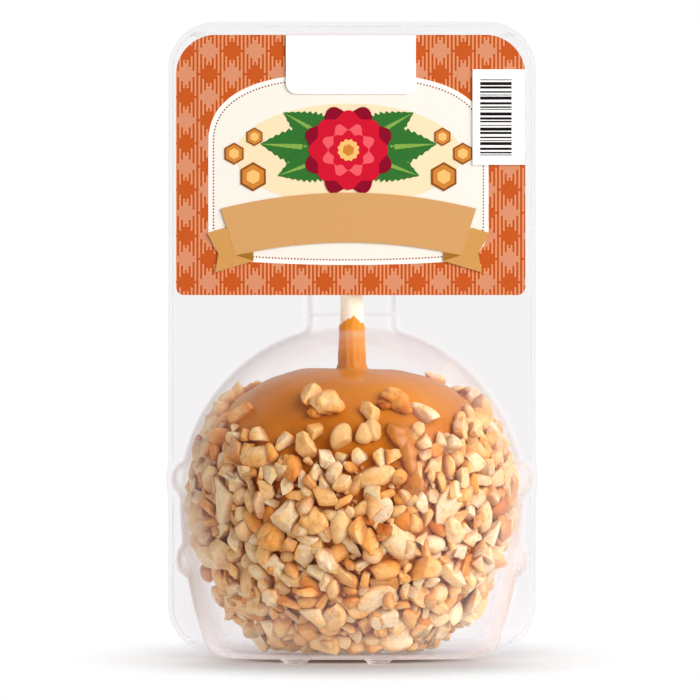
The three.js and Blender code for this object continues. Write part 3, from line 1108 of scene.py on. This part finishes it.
def sliver(rng, ways):
    """A long splinter with faces that run along it."""
    turn = rng.uniform(0, math.tau) + np.arange(4) * math.tau / 4 + rng.uniform(-0.4, 0.4, 4)
    planes = np.stack([0.15 * rng.normal(size=4), np.cos(turn), np.sin(turn)], axis=1)
    planes /= np.linalg.norm(planes, axis=1)[:, None]
    planes = np.vstack([planes, unit_vectors(rng, 3)])
    depths = np.concatenate([rng.uniform(0.35, 0.7, 4), rng.uniform(0.55, 0.85, 3)])
    return chipped(rng, cut_ball(ways, planes, depths, 60))


def rough_lump(rng, ways):
    """A well roasted lump, knobbly all over."""
    knobs = unit_vectors(rng, 16)
    reach = np.exp(((ways @ knobs.T) - 1) / 0.05).sum(axis=1)
    return ways * (0.72 + 0.2 * np.clip(reach, 0, 1.4) + 0.12 * waves(ways, 0.5, 7))[:, None]


def melted_kernel(rng, ways):
    """A kernel of two lobes, whose edges the caramel has filled out."""
    planes = unit_vectors(rng, 7)
    points = cut_ball(ways, planes, rng.uniform(0.6, 0.9, 7), 14)
    waist = np.exp(-(((points[:, 0] - 0.1) / 0.2) ** 2))
    return points * (1 - 0.2 * waist)[:, None]


class Shape:
    """One ready-made piece of unit size, with its broken faces and skin told apart."""

    def __init__(self, make, rng, triangles):
        ways, faces = ball(5 if triangles > 200 else 4)
        points = make(rng, ways)
        points *= 1 + WOBBLE * waves(ways, 0.35, int(rng.integers(1 << 30)))[:, None]
        obj = new_object("shape", points / MM, faces, [])
        fewer = obj.modifiers.new("fewer", "DECIMATE")
        fewer.ratio = triangles / len(faces)
        apply_modifiers(obj)
        mesh = obj.data
        mesh.calc_loop_triangles()
        self.points = np.array([v.co for v in mesh.vertices])
        self.faces = np.array([t.vertices for t in mesh.loop_triangles])
        bpy.data.objects.remove(obj)
        self.skin = smoothstep(np.linalg.norm(self.points, axis=1), 0.88, 0.99)
        low, high = self.points.min(axis=0), self.points.max(axis=0)
        self.points = (2 * self.points - low - high) / (high - low)


def axes_on(normal, spin, tilt, rng):
    """A piece's own axes when it lies on a surface, turned by spin and tipped by up to tilt."""
    side = np.cross(normal, [0.3, 0.2, 1.0])
    side /= np.linalg.norm(side)
    up = normal + rng.normal(size=3) * tilt
    up /= np.linalg.norm(up)
    side -= up * (side @ up)
    side /= np.linalg.norm(side)
    other = np.cross(up, side)
    long = side * math.cos(spin) + other * math.sin(spin)
    return np.stack([long, np.cross(up, long), up])


class Surface:
    """The caramel's surface, for laying peanuts on it."""

    def __init__(self):
        self.line, self.normal = apple_rows(400)
        width = np.hypot(*np.diff(self.line, axis=0).T)
        area = np.concatenate([[0], np.cumsum(width * (self.line[1:, 0] + self.line[:-1, 0]))])
        self.area = area / area[-1]
        sides = self.line[:, 1] < CROWN_Z
        self.side_radius, self.side_z = self.line[sides].T
        self.side_area = self.area[sides]

    def at(self, share, angle):
        """The point and outward normal at this share of the area, from the base up."""
        row = [np.interp(share, self.area, self.line[:, k]) for k in range(2)]
        lean = [np.interp(share, self.area, self.normal[:, k]) for k in range(2)]
        lean = np.array(lean) / np.hypot(*lean)
        point = turned(*row, angle)
        normal = turned(*lean, angle)
        bulge = lobes(angle, row[1]) + apple_lumps(point[None])[0]
        return point + normal * bulge, normal

    def front(self, x, z):
        """The point and normal at x and z on the front half."""
        radius = np.interp(z, self.side_z, self.side_radius)
        return self.at(self.share_at(z), -math.acos(np.clip(x / radius, -1, 1)))

    def share_at(self, z):
        """The share of the area below a height on the apple's sides."""
        return np.interp(z, self.side_z, self.side_area)


def nut_edge(angle):
    """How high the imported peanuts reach: lowest in front, and wavy."""
    ahead = math.remainder(angle + math.pi / 2 + 0.1, math.tau)
    dip = 14.0 * math.exp(-((ahead / 0.95) ** 2))
    return 58.5 - dip + 1.2 * math.sin(3 * angle + 0.8) + 1.0 * math.sin(7 * angle)


def gap_in_front(angle, z):
    """How likely a place is to be left bare: most in patches on the upper front."""
    ahead = math.remainder(angle + math.pi / 2, math.tau)
    height = smoothstep(z, 22, nut_edge(angle))
    patch = 0.5 + 0.5 * math.sin(4.3 * angle + 1.1 + z / 5) * math.sin(z / 3.4 + 2.2 * angle)
    bare = math.exp(-(((ahead - 0.5) / 0.1) ** 2) - ((z - 40) / 6) ** 2)
    return 0.75 * height**1.5 * patch + 0.9 * bare


class Scatter:
    """Places peanuts without letting them crowd each other."""

    def __init__(self, surface, rng):
        self.surface = surface
        self.rng = rng
        self.centres = np.zeros((0, 3))
        self.sizes = np.zeros(0)

    def crowded(self, point, size, closeness):
        gaps = np.linalg.norm(self.centres - point, axis=1)
        return bool((gaps < closeness * (self.sizes + size)).any())

    def take(self, point, size):
        self.centres = np.vstack([self.centres, point])
        self.sizes = np.append(self.sizes, size)

    def spots(self, count, size_range, closeness, tries, gaps):
        """Up to count places, each as a point, a normal and a size. gaps: how well gaps stay bare."""
        found = []
        for _ in range(tries):
            if len(found) == count:
                break
            angle = self.rng.uniform(0, math.tau)
            share = self.rng.uniform(0.0, self.surface.share_at(60))
            size = self.rng.uniform(*size_range)
            point, normal = self.surface.at(share, angle)
            if point[2] > nut_edge(angle) or self.rng.random() < gaps * gap_in_front(angle, point[2]):
                continue
            if not self.crowded(point, size, closeness):
                self.take(point, size)
                found.append((point, normal, size))
        return found


def tone_colour(tone):
    """From cream through golden and tan to dark roasted."""
    stops = np.array([CREAM, GOLDEN, TAN, ROASTED, DARK])
    at = np.clip(tone, 0, 1) * 4
    low = np.minimum(at.astype(int), 3)
    return stops[low] + (stops[low + 1] - stops[low]) * (at - low)[:, None]


class Nuts:
    """Peanut pieces of one kind, gathered into one mesh."""

    def __init__(self, name, rng, make, proportions, triangles, shapes, sharp):
        self.name = name
        self.shapes = [Shape(make, rng, triangles) for _ in range(shapes)]
        self.proportions = np.array(proportions)
        self.sharp = sharp
        self.points, self.faces, self.tints = [], [], []
        self.count = 0

    def add(self, rng, point, normal, size, sink, tilt, tone=None, spin=None):
        """Lays one piece of half length size, its middle at sink of its half thickness outside."""
        shape = self.shapes[rng.integers(len(self.shapes))]
        half = size * self.proportions * rng.uniform(0.8, 1.2, 3)
        spin = rng.uniform(0, math.tau) if spin is None else spin
        placed = shape.points * half @ axes_on(normal, spin, tilt, rng)
        placed = keep_in_pack(placed + point + normal * half[2] * sink)
        tone = rng.beta(1.2, 4.0) if tone is None else tone
        blotch = waves(shape.points, 1.1, int(rng.integers(1 << 30)))
        edge = smoothstep(np.linalg.norm(shape.points, axis=1), 1.05, 1.45)
        tint = tone_colour(tone + 0.16 * shape.skin + 0.14 * blotch + 0.12 * edge - 0.08)
        # Darker towards each piece's foot: partly caramel clinging there, partly painted shade on its
        # lower sides.
        foot = 0.75 * (1 - smoothstep((placed - point) @ normal, 0.0, STAIN_AND_SHADE_HEIGHT))[:, None]
        self.tints.append(tint + (STAIN_AND_SHADE - tint) * foot)
        self.faces.append(shape.faces + self.count)
        self.points.append(placed)
        self.count += len(placed)

    def build(self, material, slot, *replaced):
        faces = np.concatenate(self.faces).tolist()
        obj = new_object(self.name, np.concatenate(self.points), faces, [material])
        obj.data.set_sharp_from_angle(angle=math.radians(self.sharp))
        tints = np.concatenate(self.tints)
        colours = np.hstack([tints, np.ones((len(tints), 1))]).ravel()
        layer = obj.data.color_attributes.new("tint", "FLOAT_COLOR", "POINT")
        layer.data.foreach_set("color", colours)
        place(obj, slot, *replaced)


def keep_in_pack(points):
    """Moves a piece that would touch the pack back inside it."""
    above = points - [0, 0, DOME_CENTRE_Z]
    above[:, 2] = np.clip(above[:, 2], 0, None)
    over = np.linalg.norm(above, axis=1).max() - NUT_LIMIT
    if over > 0:
        away = above.mean(axis=0)
        points = points - away / np.linalg.norm(away) * over
    return points + [0, 0, max(NUT_FLOOR - points[:, 2].min(), 0)]


# Pieces laid one by one in front, on the bare caramel and in the coat: x, z, half length, how far
# the long side is turned from level in degrees, tone and kind
PLACED_NUTS = (
    (-5.2, 57.7, 4.4, -12, 0.5, "lumps"),
    (-9.0, 59.2, 3.0, 112, 0.42, "chunks"),
    (-8.0, 56.3, 2.2, 30, 0.55, "lumps"),
    (4.0, 55.5, 3.0, 130, 0.36, "chunks"),
    (10.0, 57.9, 3.7, 150, 0.6, "lumps"),
    (7.2, 57.5, 1.8, 20, 0.85, "chunks"),
    (15.7, 55.8, 3.2, 150, 0.02, "chunks"),
    (-8.4, 51.9, 2.4, 60, 0.5, "chunks"),
    (15.2, 49.5, 2.3, 90, 0.15, "chunks"),
    (19.7, 49.4, 2.4, 120, 0.1, "chunks"),
    (24.0, 48.2, 2.4, 90, 0.2, "chunks"),
    (28.4, 54.2, 3.4, 60, 0.4, "chunks"),
    (26.4, 50.5, 3.4, 120, 0.3, "slivers"),
    (-19.8, 51.0, 2.6, 110, 0.12, "chunks"),
    (-14.6, 49.4, 2.6, 80, 0.25, "chunks"),
    (-10.2, 48.6, 2.9, 130, 0.3, "chunks"),
    (-20.4, 46.1, 4.8, 15, 0.18, "halves"),
    (-25.6, 46.6, 3.7, 75, 0.22, "halves"),
    (-24.2, 55.3, 3.4, 50, 0.35, "slivers"),
    (-28.9, 53.3, 2.8, 70, 0.25, "halves"),
    (-17.4, 42.6, 3.4, 20, 0.12, "chunks"),
    (-8.1, 43.0, 2.4, 0, 0.05, "chunks"),
    (-3.9, 42.8, 2.6, 100, 0.05, "chunks"),
    (-0.4, 44.2, 2.2, 0, 0.5, "lumps"),
    (-13.1, 43.9, 3.9, 110, 0.6, "lumps"),
    (4.6, 41.9, 4.3, 35, 0.2, "halves"),
    (0.8, 40.4, 2.8, 75, 0.3, "slivers"),
    (-5.8, 37.8, 3.4, 10, 0.32, "chunks"),
    (-12.3, 38.2, 2.8, 5, 0.45, "slivers"),
    (-8.1, 32.8, 3.9, 120, 0.42, "lumps"),
    (6.0, 35.0, 3.9, 60, 0.04, "slices"),
    (11.1, 32.0, 3.5, 70, 0.66, "halves"),
    (10.8, 27.6, 5.0, -15, 0.12, "halves"),
    (20.2, 35.0, 4.6, 80, 0.06, "slices"),
    (17.8, 44.8, 2.4, 90, 0.25, "chunks"),
    (21.4, 44.1, 2.8, 100, 0.2, "halves"),
    (26.0, 44.9, 3.4, 0, 0.15, "chunks"),
    (-10.2, 25.1, 4.2, 95, 0.14, "slices"),
    (-13.4, 19.4, 3.6, 0, 0.15, "chunks"),
    (-21.4, 25.7, 3.4, 110, 0.0, "halves"),
    (-24.3, 33.9, 2.2, 0, 0.0, "chunks"),
    (-23.3, 29.8, 2.4, 60, 0.02, "chunks"),
    (-17.6, 33.6, 3.2, 80, 0.58, "halves"),
    (5.2, 15.4, 4.2, 50, 0.14, "slices"),
    (-3.7, 11.6, 3.9, 80, 0.24, "chunks"),
)
BACK_STRAYS = 9

# Kernels that lie under the caramel: x, z, half length, turn in degrees and colour
GLAZED_PALE = srgb(248, 206, 140)[:3]
GLAZED_BROWN = srgb(198, 120, 36)[:3]
GLAZED_NUTS = (
    (-2.0, 51.0, 4.4, 165, GLAZED_PALE),
    (3.4, 51.6, 3.4, 35, GLAZED_PALE),
    (9.6, 50.6, 3.6, 110, GLAZED_BROWN),
    (13.6, 51.4, 3.0, 60, GLAZED_PALE),
    (12.2, 45.8, 3.8, 120, GLAZED_BROWN),
    (13.2, 39.8, 3.2, 80, GLAZED_BROWN),
)

# Each kind of piece: what makes its shapes, its length, width and height, its triangles, how many
# shapes there are to pick from, and the angle in degrees from which an edge is sharp
KINDS = {
    "chunks": (chunk, (1.0, 0.78, 0.62), 280, 44, 30),
    "halves": (half_kernel, (1.0, 0.64, 0.42), 320, 28, 40),
    "slices": (slice_of_kernel, (1.0, 0.62, 0.3), 220, 28, 30),
    "slivers": (sliver, (1.0, 0.46, 0.38), 220, 28, 30),
    "lumps": (rough_lump, (1.0, 0.72, 0.6), 700, 10, 60),
    "bits": (chunk, (1.0, 0.8, 0.66), 120, 28, 30),
    "crumbs": (chunk, (1.0, 0.85, 0.75), 56, 28, 30),
}
GLAZED_KIND = (melted_kernel, (1.0, 0.66, 0.55), 1200, 6, 180)
MIX = {"chunks": 0.45, "halves": 0.18, "slices": 0.18, "slivers": 0.16, "lumps": 0.03}

# The coat, from its largest pieces down: the kind, or None for the mix, then how far each piece
# stands out and is tipped, then the most pieces, their half lengths, how far apart they keep, how
# many tries they get and how strictly they keep out of the gaps
COAT = (
    (None, 0.75, 0.3, 250, (3.1, 4.4), 0.62, 12000, 1.0),
    (None, 0.75, 0.4, 600, (2.2, 3.1), 0.54, 24000, 1.0),
    ("bits", 0.7, 0.35, 520, (1.3, 2.0), 0.6, 16000, 0.8),
    ("crumbs", 0.6, 0.35, 600, (0.5, 0.9), 0.6, 9000, 0.5),
)
LOOSE = (230, (1.6, 3.4), 0.95, 6000, 1.6)
LOOSE_HEIGHT = 1.6  # how far out of the caramel the pieces on top of the coat lie


def placed_nuts(kinds, scatter, rng):
    """The listed pieces, room for the glazed kernels, and a few strays behind."""
    surface = scatter.surface
    for x, z, size, turn, tone, kind in PLACED_NUTS:
        point, normal = surface.front(x, z)
        scatter.take(point, 0.9 * size)
        kinds[kind].add(rng, point, normal, size, 0.6, 0.15, tone, math.radians(turn))
    for x, z, size, _, _ in GLAZED_NUTS:
        scatter.take(surface.front(x, z)[0], size)
    for step in range(BACK_STRAYS):
        angle = math.radians(10 + 160 * (step + 0.5) / BACK_STRAYS)
        point, normal = surface.at(surface.share_at(rng.uniform(59.5, 63)), angle)
        kinds["chunks"].add(rng, point, normal, rng.uniform(1.8, 3.0), 0.6, 0.2)


def peanuts(material, glaze):
    """The coat of chopped peanuts, the largest pieces laid first, and the glazed kernels."""
    rng = np.random.default_rng(11)
    surface = Surface()
    scatter = Scatter(surface, rng)
    kinds = {name: Nuts("peanut_" + name, rng, *kind) for name, kind in KINDS.items()}
    mixed = [kinds[name] for name in MIX]
    placed_nuts(kinds, scatter, rng)

    def some_kind():
        return mixed[rng.choice(len(mixed), p=list(MIX.values()))]

    for kind, sink, tilt, *how in COAT:
        for point, normal, size in scatter.spots(*how):
            nuts = kinds[kind] if kind else some_kind()
            nuts.add(rng, point, normal, size, sink, tilt)
    for point, normal, size in Scatter(surface, rng).spots(*LOOSE):
        some_kind().add(rng, point + normal * LOOSE_HEIGHT, normal, size, 0.4, 0.4)
    replaced = {"chunks": ["peanut_coat"]}
    for name, nuts in kinds.items():
        nuts.build(material, "peanut", *replaced.get(name, []))
    kernels = Nuts("glazed_peanuts", rng, *GLAZED_KIND)
    for x, z, size, turn, colour in GLAZED_NUTS:
        point, normal = surface.front(x, z)
        kernels.add(rng, point, normal, size, 0.45, 0.3, 0, math.radians(turn))
        kernels.tints[-1] = np.tile(colour, (len(kernels.points[-1]), 1))
    kernels.build(glaze, "caramel")


# ---- Stage ----

FLOOR_FADE_M = (0.03, 0.08)  # where the floor starts and ends to fade out, to the right
FLOOR_LENGTH = 2.1  # and how many times as far it reaches to the front and back
FLOOR_BACK_M = 0.03  # from the pack's middle back to the floor's
FLOOR_GLOW = 0.03
ROOM_COLOUR = (1, 0.995, 0.99, 1)
ROOM_SEEN = 1.01  # the room's brightness as a backdrop
ROOM_DIM, ROOM_BRIGHT = 0.1, 1.25  # and as a source of light, on its dim and bright sides
ROOM_GLOSS = 0.55  # and as gloss shows it, on its bright side
ROOM_TURN = (-0.8, 0.7)  # the cosines to the bright side between which it turns bright
BRIGHT_SIDE = Vector((0.2, 0.95, 0)).normalized()
CLEAR_LAYERS = 24  # how many faces of clear sheet light may cross before it is lost
WINDOW = 2.0  # what a tall window, which only gloss shows, adds to the room
WINDOW_EDGE = (0.84, 0.99)  # the cosines between which it fades out
WINDOW_WAY = Vector((0.85, -0.5, 0.1)).normalized()
WINDOW_HEIGHT = 2.5  # how many times as tall as it is wide


def area_light(name, place_m, target, size, power, colour=(1, 1, 1)):
    """A soft round lamp at a place in metres, turned to a target."""
    data = bpy.data.lights.new(name, "AREA")
    data.shape = "DISK"
    data.size = size
    data.energy = power
    data.color = colour
    light = bpy.data.objects.new(name, data)
    light.location = place_m
    light.rotation_euler = (Vector(target) - Vector(place_m)).to_track_quat("-Z", "Y").to_euler()
    light.visible_glossy = False
    bpy.context.scene.collection.objects.link(light)
    return light


def floor():
    """A pale floor with a painted shadow, greyest under the pack, that fades into the white room around
    it.
    """
    look = Look("floor")
    look.bump(look.noise(300, 2), 0.0001, 0.1)
    oval = look.stretched(1, 1 / FLOOR_LENGTH, 1)
    middle = look.node("ShaderNodeVectorMath", {"operation": "LENGTH"}, Vector=oval)
    clear = look.eased(middle.outputs["Value"], *FLOOR_FADE_M, 0, 1)
    look.set(
        # Painted shadow: the floor's colour is greyest under the pack and paler towards its fading edge.
        Base_Color=look.mix(clear, (0.5, 0.5, 0.505, 1), (0.66, 0.66, 0.665, 1)),
        Roughness=0.8,
        Emission_Color=(1, 1, 1, 1),
        Emission_Strength=FLOOR_GLOW,
    )
    look.cover(look.blend(clear, look.shader, look.node("ShaderNodeBsdfTransparent")))
    wide = FLOOR_FADE_M[1] / MM
    deep = wide * FLOOR_LENGTH
    corners = [(x, y, 0) for x, y in rectangle(-wide, wide, -deep, deep)]
    obj = new_object("floor", corners, [[0, 1, 2, 3]], [look.material], smooth=False)
    obj.location.y = FLOOR_BACK_M


def surroundings():
    """A white room, brightest behind the pack, and dimmest in front on its left."""
    world = bpy.data.worlds.new("room")
    room = Nodes(world)
    way = room.node("ShaderNodeTexCoord").outputs["Generated"]
    flatter = room.node("ShaderNodeMapping", {"vector_type": "NORMAL"}, Vector=way)
    flatter.inputs["Scale"].default_value = (1, 1, WINDOW_HEIGHT)

    def rising(direction, towards, start, end, low, high):
        """A strength that rises from low to high as a direction turns towards another."""
        facing = room.chain("ShaderNodeVectorMath", {"operation": "DOT_PRODUCT"}, direction, towards)
        return room.eased(facing.outputs["Value"], start, end, low, high)

    def backdrop(strength):
        return room.node("ShaderNodeBackground", Color=ROOM_COLOUR, Strength=strength)

    window = rising(flatter, WINDOW_WAY, *WINDOW_EDGE, 0, WINDOW)
    gloss = room.math("ADD", rising(way, BRIGHT_SIDE, *ROOM_TURN, 0, ROOM_GLOSS), window)
    lit = backdrop(rising(way, BRIGHT_SIDE, *ROOM_TURN, ROOM_DIM, ROOM_BRIGHT))
    rays = room.node("ShaderNodeLightPath")
    for ray, strength in (("Is Glossy Ray", gloss), ("Is Camera Ray", ROOM_SEEN)):
        lit = room.blend(rays.outputs[ray], lit, backdrop(strength))
    room.feed(room.tree.nodes["World Output"].inputs["Surface"], lit)
    bpy.context.scene.world = world


def camera():
    """Nearly level with the middle of the pack, and far off."""
    distance = 2.2
    elevation = math.radians(0.5)
    field = 0.158  # width of the view at the seam, in metres
    target = Vector((-0.00045, SEAM_Y * MM, 0.0701))
    data = bpy.data.cameras.new("camera")
    data.sensor_width = 36
    data.lens = 36 * distance / field
    data.clip_start = 0.05
    obj = bpy.data.objects.new("camera", data)
    away = Vector((0, -math.cos(elevation), math.sin(elevation)))
    obj.location = target + away * distance
    obj.rotation_euler = (target - obj.location).to_track_quat("-Z", "Y").to_euler()
    bpy.context.scene.collection.objects.link(obj)
    bpy.context.scene.camera = obj


def linked(state, *names):
    """A collection that keeps lamps to these objects alone (INCLUDE), or away from them (EXCLUDE)."""
    group = bpy.data.collections.new("linked")
    for name in names:
        group.objects.link(bpy.data.objects[name])
    for member in group.collection_objects:
        member.light_linking.link_state = state
    return group


def lights():
    """A soft key lamp, a warm glow as a table throws it back, and two lamps for the floor."""
    middle = (0, 0, 0.05)
    key = area_light("key", (0.82, -0.84, 0.5), middle, 1.2, 22, (1, 0.99, 0.985))
    fill = area_light("fill", (-0.75, -0.7, -0.3), middle, 0.8, 4.5, (1, 0.9, 0.76))
    for lamp in (key, fill):
        lamp.light_linking.receiver_collection = linked("EXCLUDE", "floor")
    fill.light_linking.blocker_collection = linked("EXCLUDE", "floor")
    behind = area_light("behind", (0, 1.0, 0.75), (0, 0, 0), 0.6, 12.5)
    ahead = area_light("ahead", (0, -0.8, 0.9), (0, 0, 0), 0.6, 8)
    for lamp in (behind, ahead):
        lamp.light_linking.receiver_collection = linked("INCLUDE", "floor")
        lamp.light_linking.blocker_collection = linked("EXCLUDE", "label_card", "label_print")


def main():
    scene = bpy.context.scene
    scene.view_settings.view_transform = "Standard"
    scene.cycles.transparent_max_bounces = CLEAR_LAYERS
    clear = clear_plastic()
    clear_shell("clear_front", -1, clear)
    clear_shell("clear_back", 1, clear)
    caramel_apple(caramel())
    wooden_stick(stick_wood())
    peanuts(peanut(), glazed_peanut())
    label_card()
    label_print()
    floor()
    surroundings()
    lights()
    camera()


main()
